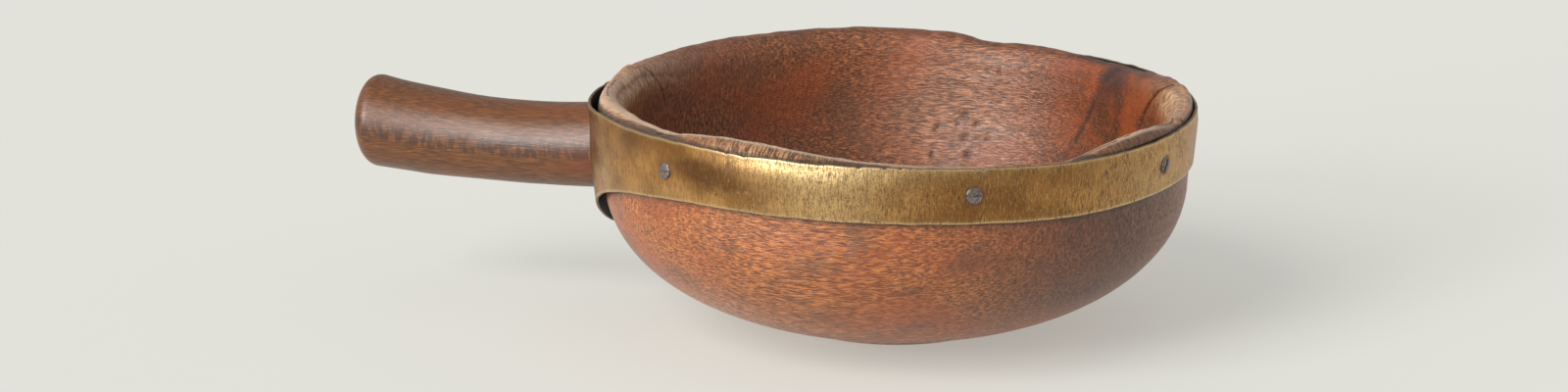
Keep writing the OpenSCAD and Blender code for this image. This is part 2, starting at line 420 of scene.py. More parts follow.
def bowl_outline(phi):
    """The bowl's smooth surface as rows of radius and height in each direction, from the base up the
    outside, over the rim and down to the cavity's floor, and which part each point belongs to."""
    top = rim_top(phi)
    for height, *span in RIM_STEPS:
        top = top + height * between(phi, *span)
    inner = rim_inner(phi)
    outer_r = wood_r(top)
    ridge_r = outer_r + (inner - outer_r) * rim_ridge(phi)
    outer_fall = OUTER_FALL + patches(phi, OUTER_FALL_MORE)
    inner_fall = rim_fall(phi)
    wall_top = top - outer_fall
    edge_z = top - inner_fall
    radii, heights, kinds = [], [], []

    def add(r, z, kind):
        radii.append(np.broadcast_to(r, phi.shape))
        heights.append(np.broadcast_to(z, phi.shape))
        kinds.append(kind)

    def add_rim(edge_r, fall, power, turns):
        for t in turns:
            r = ridge_r + (edge_r - ridge_r) * math.cos(t) ** power
            add(r, top - fall * (1 - math.sin(t) ** power), "rim")

    for t in np.linspace(0.12, 1, 7):
        add(BASE_R * t, 0.0, "base")
    foot_r = wood_r(np.array(FOOT_Z))
    for t in np.linspace(0.15, 1, 6):
        add(BASE_R + (foot_r - BASE_R) * t, FOOT_Z * t ** 1.5, "outside")
    for t in np.linspace(0, 1, 62)[1:]:
        z = FOOT_Z + (BELLY_Z - FOOT_Z) * t ** 1.5
        add(wood_r(np.array(z)), z, "outside")
    for t in np.linspace(0, 1, 15)[1:]:
        z = BELLY_Z + (wall_top - BELLY_Z) * t
        add(wood_r(z), z, "outside")
    add_rim(outer_r, outer_fall, 0.9, np.linspace(0, math.pi / 2, 13)[1:])
    add_rim(inner, inner_fall, 0.95, np.linspace(math.pi / 2, 0, 13)[1:-1])
    # Below the rim the wall keeps the rim's own thickness at first, with a thicker shoulder at the ends
    shoulder = patches(phi, SHOULDER)
    for t in np.linspace(0, 1, 17):
        z = edge_z + (CAVITY_Z - edge_z) * t
        down = edge_z - z
        lip = (inner - inside_r(edge_z)) * np.exp(-down / 3.0)
        thicker = shoulder * (1 - np.exp(-down / 2.5)) * (1 - smooth_step(down, 4, 13))
        add(inside_r(z) + (lip - thicker) * (1 - t), z, "inside")
    for t in np.linspace(0, 1, 80)[1:-1]:
        z = CAVITY_Z - (CAVITY_Z - FLOOR_T) * (1 - (1 - t) ** 1.7)
        add(inside_r(z), z, "inside")

    r = np.array(radii)
    kind = np.array(kinds)[:, None]
    deg = np.broadcast_to(phi, r.shape)
    x, y = ring_point(r, deg)
    return SimpleNamespace(
        deg=deg, r=r, z=np.array(heights), x=x, y=y, top=top, inner=inner, outer_r=outer_r, edge_z=edge_z,
        inside=(kind == "inside") | ((kind == "rim") & (r < (outer_r + inner) / 2)),
        rim=np.broadcast_to(kind == "rim", r.shape), cavity=kind == "inside", base=kind == "base",
    )


def carve(b):
    """Hand carving: slow unevenness, finer tool marks, and a rim that isn't quite smooth."""
    slow = rough(b.x, b.y, b.z, SLOW_CARVING)
    uneven = slow + rough(b.x, b.y, b.z * 1.6, TOOL_MARKS)
    # Under the hoop the wood only ever falls short of it, most of all where it has shrunk away
    under_hoop = smooth_step(b.z, 46, 50)
    outside = uneven * (1 - under_hoop) - np.abs(slow) / 3 * under_hoop
    outside = outside - patches(b.deg, SHRUNK) * smooth_step(b.z, 56, 66)
    swell = np.where(b.inside, uneven * 0.9, outside)
    swell = np.where(b.base, 0, swell * smooth_step(b.z, 0.5, 6))
    # Round the tenon's end the cavity is smooth, and a little wider
    near_tenon = np.where(b.x < 0, np.hypot(b.y, b.z - GRIP_Z), ALL)
    swell = swell * smooth_step(near_tenon, 9, 16)
    widened = 0.2 * (1 - smooth_step(near_tenon, 9, 14))
    b.r = np.where(b.inside, b.r - swell * smooth_step(b.r, 6, 30) + widened, b.r + swell)
    b.z = b.z + np.where(b.rim, rough(b.x, b.y, b.z, RIM_ROUGH), 0)


def beside(b, direction):
    """How far each point of the bowl lies from a direction, in millimetres round the bowl."""
    return np.radians(angle_gap(b.deg, direction)) * b.r


def mark(b):
    """Cuts the cracks, checks, knocks and nick, and says how dark each point is as a crack and a stain."""
    inside = np.where(b.inside, 1, 0)
    crack = np.zeros_like(b.r)
    stain = np.zeros_like(b.r)
    depth = np.zeros_like(b.r)
    for start, start_z, drift, slowing, length, deep, width in CRACKS:
        down = start_z - b.z
        away = beside(b, start + drift * down + slowing * down ** 2)
        line = hill(away, width) * between(down, -4.0, 0.5, length * 0.55, length) * inside
        crack = np.maximum(crack, min(1.0, 1.2 * deep) * line)
        depth = np.maximum(depth, deep * line)
    across = (b.r - b.inner) / (b.outer_r - b.inner)
    for start, slant, deep, width in RIM_CHECKS:
        line = hill(beside(b, start + slant * (across - 0.1)), width) * np.where(b.rim, 1, 0)
        crack = np.maximum(crack, line)
        b.z = b.z - deep * line
    for at, up, radius, deep in KNOCKS:
        d = np.hypot(beside(b, at), (b.z - up) * 1.2)
        d = d * (1 + 0.5 * smooth_noise(b.x, b.y, b.z, size=2.2, seed=61))
        knock = hill(d, radius * 0.55) * inside
        depth = np.maximum(depth, 1.6 * deep * knock)
        stain = np.maximum(stain, knock)

    # The streak: a patchy line, darker and wider at its top, with grey beside it
    down = STREAK_TOP[1] - b.z
    away = beside(b, STREAK_TOP[0] + STREAK_DRIFT * down)
    patchy = 0.55 + 0.45 * smooth_noise(b.x, b.y, b.z, size=7, seed=21)
    streak = 1.2 * hill(away, 1.1) * between(down, -3, 1, 26, 36) * patchy
    streak = np.maximum(streak, 1.1 * hill(away, 2.6) * between(down, -3, 1, 3, 9))
    streak = np.maximum(streak, 0.7 * hill(away + 5, 4.0) * between(down, -3, 2, 6, 16))
    stain = np.maximum(stain, np.clip(streak, 0, 1) * inside)

    # The nick: a slanting cut, longer than it is wide
    up = b.z - NICK[1]
    nick = hill(np.hypot(beside(b, NICK[0]) - 0.5 * up, 0.6 * up), 1.2) * (1 - inside)
    crack = np.maximum(crack, nick)
    b.r = b.r + depth * inside - NICK_DEPTH * nick
    return crack, stain


def bowl_masks(b):
    """Where each look of the wood lies, from 0 to 1 for each point."""
    inside = np.where(b.inside, 1.0, 0.0)
    outside = 1 - inside
    rim = np.where(b.rim, 1.0, 0.0)
    pale = rim_pale(b.deg)
    fade_in = np.where(b.cavity, hill(b.edge_z - b.z, 3.0 + 5.0 * pale), 0)
    # Painted light: a highlight in the middle of the inside, a lift on its left wall, and a sheen low on the
    # outside at the front left
    painted_light = patches(b.deg, PAINTED_LIGHT_INSIDE, b.z) * inside + patches(b.deg, PAINTED_SHEEN_OUTSIDE, b.z) * outside
    # Painted shade on the right of the outside, which faces away from the light, and a dark line along the
    # far rim
    painted_shade = patches(b.deg, PAINTED_SHADE_RIGHT) * smooth_step(b.z, 6, 26) * outside * (1 - rim)
    far_side = 1 - patches(b.deg, NEAR_SIDE)
    dark_rim = hill(b.top - b.z, 1.1) * np.where(b.cavity, 0, 1) * (1 - pale) * far_side
    # A painted highlight along the rim's crest, from a little outside its ridge inwards
    crest = b.inner + (b.outer_r - b.inner) * (1 - rim_ridge(b.deg))
    reach = CREST_REACH - patches(b.deg, CREST_NARROW)
    crest_highlight = (1 - smooth_step(b.r - crest, reach, reach + 1.2)) * rim
    # Painted shade on the wood along the hoop's two edges, where the hoop meets it
    painted_contact_shade = (1 - smooth_step(b.z - hoop_top(b.deg), 0.0, 0.7)) * rim * outside
    painted_contact_shade = np.maximum(painted_contact_shade, 0.8 * hill(b.z - hoop_bottom(b.deg), 0.9) * outside)
    return {
        "inside": inside,
        "rim": np.clip((rim + 0.8 * fade_in) * pale, 0, 1),
        "dark_rim": np.clip(dark_rim, 0, 1),
        "painted_shade": painted_shade,
        "painted_light": np.clip(painted_light, 0, 1),
        "deep": patches(b.deg, DEEP) * inside,
        "crest_highlight": crest_highlight * np.clip(patches(b.deg, CREST_SHOWN), 0, 1),
        "painted_contact_shade": painted_contact_shade,
        "roll": patches(b.deg, ROLL) * rim,
        "teeth": patches(b.deg, TEETH) * rim,
    }


def make_bowl(material):
    b = bowl_outline(bowl_directions())
    carve(b)
    crack, stain = mark(b)
    masks = bowl_masks(b) | {"crack": crack, "stain": stain}
    grid = np.stack([*ring_point(b.r, b.deg), np.clip(b.z, 0, HIGHEST_Z)], -1)
    rows, cols = b.r.shape
    # Two more points close the base and the cavity's floor
    points = np.concatenate([grid.reshape(-1, 3), [[0, 0, 0], [0, 0, FLOOR_T]]])
    base_centre, floor_centre = rows * cols, rows * cols + 1
    faces = band_faces(rows, cols)
    faces += fan_faces(base_centre, 0, cols, turned=True)
    faces += fan_faces(floor_centre, (rows - 1) * cols, cols, turned=False)
    attributes = {}
    for key, values in masks.items():
        floor_value = 1.0 if key == "inside" else 0.0
        attributes[key] = np.append(values.ravel(), [0.0, floor_value])
    return make_object("carved_bowl", points, faces, material, attributes)


# ---------------------------------------------------------------- the hoop
def hoop_outline(top, low, cols):
    """One closed outline per direction, as rows of depth behind the outer face, height, and 1 for the
    outer face, 0.5 for the edges or 0 for the back: up the outside, over, down the back and round."""
    edge = HOOP_T / 2
    round_z = 0.7 * edge
    low_flat, top_flat = low + round_z, top - round_z
    bends = np.linspace(0, math.pi, 7)[1:-1]
    depths, heights, sides = [], [], []

    def add(depth, z, side):
        depths.append(np.full(cols, depth))
        heights.append(z)
        sides.append(side)

    for t in np.linspace(0, 1, 26):
        add(0.0, low_flat + (top_flat - low_flat) * t, 1.0)
    for t in bends:
        add(-edge + edge * math.cos(t), top_flat + round_z * math.sin(t), 0.5)
    for t in np.linspace(0, 1, 12):
        add(-HOOP_T, top_flat - (top_flat - low_flat) * t, 0.0)
    for t in bends:
        add(-edge - edge * math.cos(t), low_flat - round_z * math.sin(t), 0.5)
    return np.array(depths), np.array(heights), np.array(sides)[:, None]


def screw_dishes(angle, z):
    """How near each point lies to a screw, for a shallow dish round it and a dark ring in the dish."""
    dish = np.zeros_like(z)
    ring = np.zeros_like(z)
    for number, at in enumerate(SCREW_AT, 1):
        screw_low, screw_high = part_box(f"hoop_screw_{number}")
        centre_z = (screw_low[2] + screw_high[2]) / 2 / MM
        d = np.hypot(np.radians(angle_gap(angle, at)) * HOOP_R, z - centre_z)
        dish = np.maximum(dish, hill(d, 3.1))
        ring = np.maximum(ring, hill(d - 2.65, 0.45))
    return dish, ring


def make_hoop(material):
    cols = 900
    deg = np.arange(cols) * 360.0 / cols
    lap_start, lap_end = SEAM_AT - LAP_ANGLE / 2, SEAM_AT + LAP_ANGLE / 2
    lap = between(deg, lap_start, lap_start + LAP_STEP, lap_end - LAP_STEP, lap_end)
    x0, y0 = ring_point(HOOP_R, deg)
    nicks = np.zeros(cols)
    for at, width, deep in HOOP_NICKS:
        nicks = np.maximum(nicks, deep * hill(angle_gap(deg, at), width))
    top = hoop_top(deg) + rough(x0, y0, 0, HOOP_TOP_ROUGH) - nicks
    low = hoop_bottom(deg) + rough(x0, y0, 9, HOOP_LOW_ROUGH)
    depth, z, face = hoop_outline(top, low, cols)
    angle = np.broadcast_to(deg, z.shape)
    cx, cy = ring_point(HOOP_R, angle)
    down = top - z

    # Hammered unevenness, but level at the lap, and a top edge tapped in towards the wood
    off_lap = smooth_step(np.abs(angle_gap(angle, SEAM_AT)), LAP_ANGLE / 2, LAP_ANGLE)
    dents = rough(cx, cy, z, HOOP_DENTS) * off_lap
    tapped = TAPPED_IN * hill(down, 3.0) * (1 - patches(angle, UNROLLED))
    flare = patches(angle, FLARE) * smooth_step(down, 5, 18)
    dish, ring = screw_dishes(angle, z)
    lapped = lap * HOOP_T * np.where(face > 0.75, 1, np.where(face > 0.25, 0.5, 0))
    r = hoop_r(z) + depth + dents - tapped + flare - SCREW_DISH * dish + lapped
    x, y = ring_point(r, angle)
    grid = np.stack([HOOP_X + x, y, z], -1)
    # A painted highlight along both edges of the brass
    edge_highlight = np.maximum(hill(down, 0.55), hill(z - low, 0.65)) * np.where(face > 0.2, 1, 0)
    attributes = {
        # A painted highlight near the top edge at the front left
        "painted_highlight": np.clip(patches(angle, PAINTED_HIGHLIGHTS, down), 0, 1),
        # Painted dark reflections, the darkest at the front left and beside the handle
        "brown": np.clip(patches(angle, PAINTED_DARK_REFLECTIONS, down), 0, 1),
        "worn": patches(angle, WORN),
        # A painted highlight stripe beside the handle, and paler brass at the front right and low at the
        # front left
        "pale": np.clip(patches(angle, PALE, z - low), 0, 1),
        "smooth": patches(angle, SMOOTH),
        "edge": edge_highlight,
        "ring": ring * np.where(face > 0.75, 1, 0),
        # Painted shade over the whole back
        "back": np.broadcast_to(1 - face, z.shape),
    }
    faces = band_faces(grid.shape[0], cols, closed_rows=True)
    return make_object("brass_band", grid.reshape(-1, 3), faces, material, attributes)


# ---------------------------------------------------------------- the handle
def grip_axis_z(s):
    """Height of the grip's axis at a distance s from its root."""
    return GRIP_Z + GRIP_SLOPE * s + GRIP_CURVE * s * s


def grip_radius(s):
    """Radius of the grip at a distance s from its root."""
    return GRIP_R + WAIST * s + SWELL * s * s


def grip_rows(turn):
    """Rings of the grip from its root out to its rounded end, worn a little uneven."""
    straight_l = GRIP_L - GRIP_END
    # Steps run from 0 to 1 along the grip and from 1 to 2 over its rounded end
    steps = np.concatenate([np.linspace(0, 1, 110), 1 + np.sin(np.linspace(0, math.pi / 2, 22)[1:-1])])
    rows = []
    for step in steps:
        over_end = max(step - 1, 0)
        s = straight_l * min(step, 1) + GRIP_END * over_end
        radius = grip_radius(s) * (1 - over_end ** GRIP_END_POWER) ** (1 / GRIP_END_POWER)
        y = radius * np.cos(turn)
        z = grip_axis_z(s) + radius * np.sin(turn)
        # The root follows the hoop, and that curve dies out along the grip
        bend = (hoop_face_x(y, z) - GRIP_START_X) * max(0.0, 1 - s / ROOT_FADE)
        rows.append(np.stack([GRIP_START_X - s + bend, y, z], -1))
    grid = np.array(rows)

    # Slightly uneven, with the sharp arris at the root eased
    x, y, z = grid[..., 0], grid[..., 1], grid[..., 2]
    along = np.minimum(steps, 1.0)[:, None] * straight_l
    outwards = np.stack([np.zeros_like(x), y, z - grip_axis_z(GRIP_START_X - x)], -1)
    length = np.maximum(np.linalg.norm(outwards, axis=-1), 1e-6)
    shift = rough(x, y, z, GRIP_ROUGH) * smooth_step(length, 2, 8) - ARRIS_EASE * hill(along, 0.7)
    grid = grid + outwards * (shift / length)[..., None]
    grid[..., 0] = np.maximum(grid[..., 0], HANDLE_END_X + 0.02)
    return grid


def tenon_rows(turn):
    """Rings from the grip's root in to the tenon, along it, and in to the middle of its end."""
    rows = []
    for t in (0.75, 0.5, 0.25):
        radius = TENON_R + (GRIP_R - TENON_R) * t
        y, z = radius * np.cos(turn), GRIP_Z + radius * np.sin(turn)
        rows.append(np.stack([hoop_face_x(y, z), y, z], -1))
    y, z = TENON_R * np.cos(turn), GRIP_Z + TENON_R * np.sin(turn)
    start_x, end_x = hoop_face_x(y, z), cavity_face_x(y, z)
    for t in np.linspace(0, 1, 10):
        rows.append(np.stack([start_x + (end_x - start_x) * t, y, z], -1))
    for t in (0.96, 0.85, 0.6, 0.3, 0.08):
        y, z = TENON_R * t * np.cos(turn), GRIP_Z + TENON_R * t * np.sin(turn)
        rows.append(np.stack([cavity_face_x(y, z), y, z], -1))
    return np.array(rows)


def make_handle(material):
    around = 144
    turn = np.radians(np.arange(around) * 360.0 / around)
    grid = np.concatenate([tenon_rows(turn)[::-1], grip_rows(turn)])
    rows = grid.shape[0]
    # Two more points close the tenon's end and the grip's end
    ends = [grid[0].mean(0), [HANDLE_END_X, 0, grip_axis_z(GRIP_L)]]
    points = np.concatenate([grid.reshape(-1, 3), ends])
    inner_centre, end_centre = rows * around, rows * around + 1
    faces = [f[::-1] for f in band_faces(rows, around)]
    faces += fan_faces(inner_centre, 0, around, turned=False)
    faces += fan_faces(end_centre, (rows - 1) * around, around, turned=True)
    height = points[:, 2] - grip_axis_z(np.maximum(GRIP_START_X - points[:, 0], 0))
    return make_object("turned_handle", points, faces, material, {"height": height})


# ---------------------------------------------------------------- materials
def srgb(r, g, b):
    """A colour given as sRGB values from 0 to 255, for a node's socket."""
    def linear(c):
        c = c / 255
        return c / 12.92 if c <= 0.04045 else ((c + 0.055) / 1.055) ** 2.4
    return (linear(r), linear(g), linear(b), 1.0)


class Nodes:
    """Short ways to make and join the nodes of one material."""

    def __init__(self, name):
        self.material = bpy.data.materials.new(name)
        self.material.use_nodes = True
        self.tree = self.material.node_tree
        self.tree.nodes.clear()
        self.shader = self.tree.nodes.new("ShaderNodeBsdfPrincipled")
        output = self.tree.nodes.new("ShaderNodeOutputMaterial")
        self.join(self.shader.outputs["BSDF"], output.inputs["Surface"])
        self.coords = self.tree.nodes.new("ShaderNodeTexCoord").outputs["Object"]

    def join(self, source, target):
        self.tree.links.new(source, target)

    def put(self, value, target):
        """Join a socket to target, or set target's own value."""
        if isinstance(value, bpy.types.NodeSocket):
            self.join(value, target)
        else:
            target.default_value = value

    def scaled(self, vector, x, y, z, turn=0):
        """vector scaled so that x, y and z millimetres come out as 1, turned first about z in degrees."""
        if turn:
            level = self.tree.nodes.new("ShaderNodeMapping")
            level.inputs["Rotation"].default_value = (0, 0, math.radians(turn))
            self.join(vector, level.inputs["Vector"])
            vector = level.outputs["Vector"]
        node = self.tree.nodes.new("ShaderNodeMapping")
        node.inputs["Scale"].default_value = (1000 / x, 1000 / y, 1000 / z)
        self.join(vector, node.inputs["Vector"])
        return node.outputs["Vector"]

    def noise(self, vector, detail=3.0, rough=0.55, colour=False):
        node = self.tree.nodes.new("ShaderNodeTexNoise")
        node.inputs["Scale"].default_value = 1.0
        node.inputs["Detail"].default_value = detail
        node.inputs["Roughness"].default_value = rough
        self.join(vector, node.inputs["Vector"])
        return node.outputs["Color" if colour else "Fac"]

    def range(self, value, low, high, to_low=0.0, to_high=1.0, smooth=True):
        """value from low to high brought to to_low to to_high, and held there beyond them."""
        node = self.tree.nodes.new("ShaderNodeMapRange")
        node.interpolation_type = "SMOOTHSTEP" if smooth else "LINEAR"
        node.inputs["From Min"].default_value = low
        node.inputs["From Max"].default_value = high
        node.inputs["To Min"].default_value = to_low
        node.inputs["To Max"].default_value = to_high
        self.join(value, node.inputs["Value"])
        return node.outputs["Result"]

    def math(self, operation, a, b=0.0):
        node = self.tree.nodes.new("ShaderNodeMath")
        node.operation = operation
        self.put(a, node.inputs[0])
        self.put(b, node.inputs[1])
        return node.outputs["Value"]

    def vector_math(self, operation, a, b):
        node = self.tree.nodes.new("ShaderNodeVectorMath")
        node.operation = operation
        self.put(a, node.inputs[0])
        self.put(b, node.inputs[1])
        return node.outputs["Vector"]

    def mix(self, factor, a, b):
        """Colour a where factor is 0 and colour b where it is 1."""
        node = self.tree.nodes.new("ShaderNodeMix")
        node.data_type = "RGBA"
        node.clamp_factor = True
        self.put(factor, node.inputs["Factor"])
        self.put(a, node.inputs[6])
        self.put(b, node.inputs[7])
        return node.outputs[2]

    def over(self, colour, mask, amount, tint):
        """colour with tint laid over it, as strongly as mask times amount."""
        return self.mix(self.math("MULTIPLY", mask, amount), colour, tint)

    def attribute(self, name):
        node = self.tree.nodes.new("ShaderNodeAttribute")
        node.attribute_name = name
        return node.outputs["Fac"]

    def normal_part(self, axis):
        """How far the surface faces along an axis, from -1 to 1."""
        geometry = self.tree.nodes.new("ShaderNodeNewGeometry")
        split = self.tree.nodes.new("ShaderNodeSeparateXYZ")
        self.join(geometry.outputs["Normal"], split.inputs["Vector"])
        return split.outputs[axis]

    def warped(self, size, amount):
        """Object coordinates pushed about by slow noise: size and amount in millimetres."""
        push = self.noise(self.scaled(self.coords, *size), detail=1.0, colour=True)
        push = self.vector_math("SUBTRACT", push, (0.5, 0.5, 0.5))
        push = self.vector_math("MULTIPLY", push, tuple(2 * MM * a for a in amount))
        return self.vector_math("ADD", self.coords, push)

    def bump(self, height, distance, strength=1.0, normal=None):
        """A normal bumped by height, which counts for distance millimetres, on top of another normal."""
        node = self.tree.nodes.new("ShaderNodeBump")
        node.inputs["Distance"].default_value = distance * MM
        node.inputs["Strength"].default_value = strength
        self.join(height, node.inputs["Height"])
        if normal:
            self.join(normal, node.inputs["Normal"])
        return node.outputs["Normal"]

    def surface(self, colour, rough, normal):
        """Join the three to the shader, and give back the material."""
        self.join(colour, self.shader.inputs["Base Color"])
        self.join(rough, self.shader.inputs["Roughness"])
        self.join(normal, self.shader.inputs["Normal"])
        return self.material

    def thin_coat(self):
        """A thin, soft gloss over the surface."""
        self.shader.inputs["Coat Weight"].default_value = 0.1
        self.shader.inputs["Coat Roughness"].default_value = 0.25


def bowl_wood():
    n = Nodes("bowl_wood")
    curly = n.warped((6, 6, 4), (0.5, 0.5, 0.8))
    # The grain runs along X, so what faces along X is end grain
    end = n.math("POWER", n.math("ABSOLUTE", n.normal_part("X")), 1.6)
    side_fibre = n.noise(n.scaled(curly, 4.0, 0.75, 0.36), detail=2, rough=0.6)
    end_fibre = n.noise(n.scaled(curly, 0.9, 0.7, 1.6), detail=3, rough=0.7)
    side_part = n.math("MULTIPLY", side_fibre, n.math("SUBTRACT", 1.0, end))
    fibre = n.math("ADD", side_part, n.math("MULTIPLY", end_fibre, end))
    slow = n.noise(n.scaled(n.coords, 42, 30, 24), detail=2)
    patch = n.noise(n.scaled(n.coords, 15, 12, 12), detail=3)
    pores = n.noise(n.scaled(curly, 1.5, 0.5, 0.45), detail=2, rough=0.7)

    inside = n.attribute("inside")
    light = n.mix(inside, srgb(212, 134, 74), srgb(202, 126, 73))
    middle = n.mix(inside, srgb(184, 110, 60), srgb(148, 86, 50))
    dark = n.mix(inside, srgb(106, 58, 32), srgb(78, 44, 26))
    streaks = n.range(fibre, 0.38, 0.62)
    colour = n.mix(streaks, dark, middle)
    colour = n.mix(n.range(fibre, 0.52, 0.76), colour, light)
    colour = n.over(colour, n.range(slow, 0.45, 0.7), 0.5, srgb(160, 74, 34))
    colour = n.over(colour, n.range(patch, 0.50, 0.72), 0.55, srgb(96, 62, 44))
    colour = n.over(colour, n.range(pores, 0.62, 0.74), 0.55, srgb(60, 34, 24))
    # Painted shade on the right of the outside, with the fibre still showing in it
    shade_colour = n.mix(streaks, srgb(42, 26, 20), srgb(108, 72, 54))
    colour = n.over(colour, n.attribute("painted_shade"), 0.8, shade_colour)
    # Painted light that makes the wood paler: highlights inside and a sheen low on the outside
    painted_light_amount = n.range(fibre, 0.35, 0.6, 0.15, 0.6)
    colour = n.over(colour, n.attribute("painted_light"), painted_light_amount, srgb(216, 168, 140))
    glow = n.mix(n.range(patch, 0.4, 0.6), srgb(66, 34, 20), srgb(136, 62, 18))
    glow = n.over(glow, n.range(fibre, 0.52, 0.7), 0.4, srgb(176, 96, 44))
    colour = n.over(colour, n.attribute("deep"), 0.8, glow)

    # The rim is worn pale and grey, most of all on its end grain
    across = n.noise(n.scaled(curly, 4.0, 0.9, 3.0, turn=35), detail=3, rough=0.6)
    worn = n.mix(n.range(across, 0.36, 0.62), srgb(140, 98, 64), srgb(222, 184, 140))
    wear = n.math("ADD", 0.45, n.math("MULTIPLY", end, 0.5))
    colour = n.over(colour, n.attribute("rim"), wear, worn)
    # Tool marks stand like the teeth of a comb on the near rim, and the rim is darker to their right
    teeth = n.noise(n.scaled(n.coords, 0.5, 5, 5), detail=1)
    toothed = n.math("MULTIPLY", n.range(teeth, 0.46, 0.58), n.attribute("teeth"))
    comb = n.mix(n.range(teeth, 0.44, 0.58), srgb(184, 138, 92), srgb(62, 40, 28))
    roll_colour = n.mix(n.range(across, 0.40, 0.60), srgb(66, 40, 26), srgb(122, 86, 60))
    for mask, amount, tint in (
        ("teeth", 0.75, comb),
        ("roll", 0.9, roll_colour),
        # A painted highlight along the rim's crest
        ("crest_highlight", 0.8, srgb(226, 194, 160)),
        # Painted shade along the hoop's edges
        ("painted_contact_shade", 0.8, srgb(44, 26, 18)),
        ("dark_rim", 0.6, srgb(74, 46, 34)),
        ("stain", 0.85, srgb(48, 34, 32)),
        ("crack", 1.0, srgb(24, 14, 10)),
    ):
        colour = n.over(colour, n.attribute(mask), amount, tint)

    rough = n.range(fibre, 0.3, 0.7, 0.46, 0.30, smooth=False)
    n.thin_coat()
    fine = n.bump(fibre, 0.46)
    cut = n.bump(toothed, -0.3, normal=fine)
    return n.surface(colour, rough, n.bump(patch, 0.6, 0.4, cut))


def handle_wood():
    n = Nodes("handle_wood")
    soft = n.warped((22, 9, 9), (2.0, 0.8, 0.8))
    fibre = n.noise(n.scaled(soft, 5, 0.45, 0.4), detail=3, rough=0.6)
    slow = n.noise(n.scaled(n.coords, 34, 12, 10), detail=2)
    # Dark ray flecks in a belt along the side
    rays = n.noise(n.scaled(soft, 1.7, 5.0, 5.5), detail=2, rough=0.5)
    height = n.attribute("height")
    belt = n.math("MULTIPLY", n.range(height, -3.6, -1.2), n.range(height, 5.0, 2.2))
    dark_rays = n.math("MULTIPLY", n.range(rays, 0.42, 0.56), belt)

    colour = n.mix(n.range(fibre, 0.30, 0.66), srgb(74, 44, 24), srgb(118, 72, 38))
    colour = n.mix(n.range(fibre, 0.58, 0.80), colour, srgb(146, 92, 50))
    colour = n.over(colour, n.range(slow, 0.5, 0.72), 0.5, srgb(124, 62, 28))
    colour = n.over(colour, dark_rays, 0.7, srgb(58, 34, 26))
    rough = n.range(fibre, 0.3, 0.7, 0.42, 0.34, smooth=False)
    n.thin_coat()
    return n.surface(colour, rough, n.bump(fibre, 0.07))


def plain_wood():
    n = Nodes("wedge_wood")
    fibre = n.noise(n.scaled(n.coords, 1.0, 1.0, 6.0))
    colour = n.mix(fibre, srgb(110, 70, 44), srgb(190, 138, 92))
    return n.surface(colour, n.range(fibre, 0.3, 0.7, 0.55, 0.45), n.bump(fibre, 0.08))


def band_brass():
    n = Nodes("hoop_brass")
    scratches = n.noise(n.scaled(n.coords, 0.55, 0.55, 5.0), detail=3, rough=0.7)
    clouds = n.noise(n.scaled(n.coords, 16, 16, 11), detail=3)
    specks = n.noise(n.scaled(n.coords, 0.38, 0.38, 1.9), detail=2, rough=0.6)
    grains = n.noise(n.scaled(n.coords, 0.5, 0.5, 0.45), detail=2, rough=0.7)
    brushed = n.noise(n.scaled(n.coords, 0.35, 0.35, 2.2), detail=2, rough=0.6)
    sparse = n.noise(n.scaled(n.coords, 6, 6, 7), detail=2)
    pits = n.noise(n.scaled(n.coords, 1.6, 1.6, 2.4), detail=1)

    colour = n.mix(n.range(clouds, 0.35, 0.68), srgb(158, 110, 58), srgb(204, 150, 86))
    # A painted highlight stripe beside the handle, and paler brass elsewhere
    colour = n.over(colour, n.attribute("pale"), n.range(grains, 0.3, 0.6), srgb(220, 184, 130))
    # Painted dark reflections
    colour = n.over(colour, n.attribute("brown"), 0.9, srgb(104, 66, 36))
    # A painted highlight
    colour = n.over(colour, n.attribute("painted_highlight"), 0.9, srgb(250, 218, 158))
    colour = n.over(colour, n.range(scratches, 0.45, 0.65), 0.5, srgb(122, 80, 42))
    # Short brush marks and grains, few of them where the brass is smooth
    marked = n.range(n.attribute("smooth"), 0.0, 1.0, 1.0, 0.15)
    light_marks = n.math("MULTIPLY", marked, 0.28)
    dark_marks = n.math("MULTIPLY", marked, 0.45)
    colour = n.over(colour, n.range(brushed, 0.50, 0.68), light_marks, srgb(232, 196, 130))
    colour = n.over(colour, n.range(grains, 0.48, 0.62), dark_marks, srgb(106, 66, 32))
    # A painted highlight along both edges
    colour = n.over(colour, n.attribute("edge"), 0.8, srgb(240, 210, 160))

    # Tarnish: specks, thicker in places, and a few pits; a dark ring round each screw; and painted shade over
    # the whole back
    where = n.math("MAXIMUM", n.range(sparse, 0.45, 0.62), n.attribute("worn"))
    often = n.math("ADD", 0.25, n.math("MULTIPLY", where, 0.75))
    dark_spots = n.math("MULTIPLY", n.range(specks, 0.51, 0.61), often)
    tarnish_and_shade = n.math("MULTIPLY", dark_spots, 0.75)
    tarnish_and_shade = n.math("MAXIMUM", tarnish_and_shade, n.math("MULTIPLY", n.range(pits, 0.72, 0.78), 0.85))
    tarnish_and_shade = n.math("MAXIMUM", tarnish_and_shade, n.math("MULTIPLY", n.attribute("ring"), 0.7))
    tarnish_and_shade = n.math("MAXIMUM", tarnish_and_shade, n.attribute("back"))
    colour = n.mix(tarnish_and_shade, colour, srgb(64, 38, 22))
    # Painted shade on the back
    colour = n.mix(n.attribute("back"), colour, srgb(20, 12, 9))

    n.join(n.range(tarnish_and_shade, 0.0, 1.0, 1.0, 0.2, smooth=False), n.shader.inputs["Metallic"])
    rough = n.math("ADD", n.range(clouds, 0.3, 0.7, 0.30, 0.42), n.math("MULTIPLY", tarnish_and_shade, 0.3))
    fine = n.bump(scratches, 0.05, 0.6)
    sandy = n.bump(grains, 0.05, 0.8, fine)
    return n.surface(colour, rough, n.bump(clouds, 0.5, 0.4, sandy))


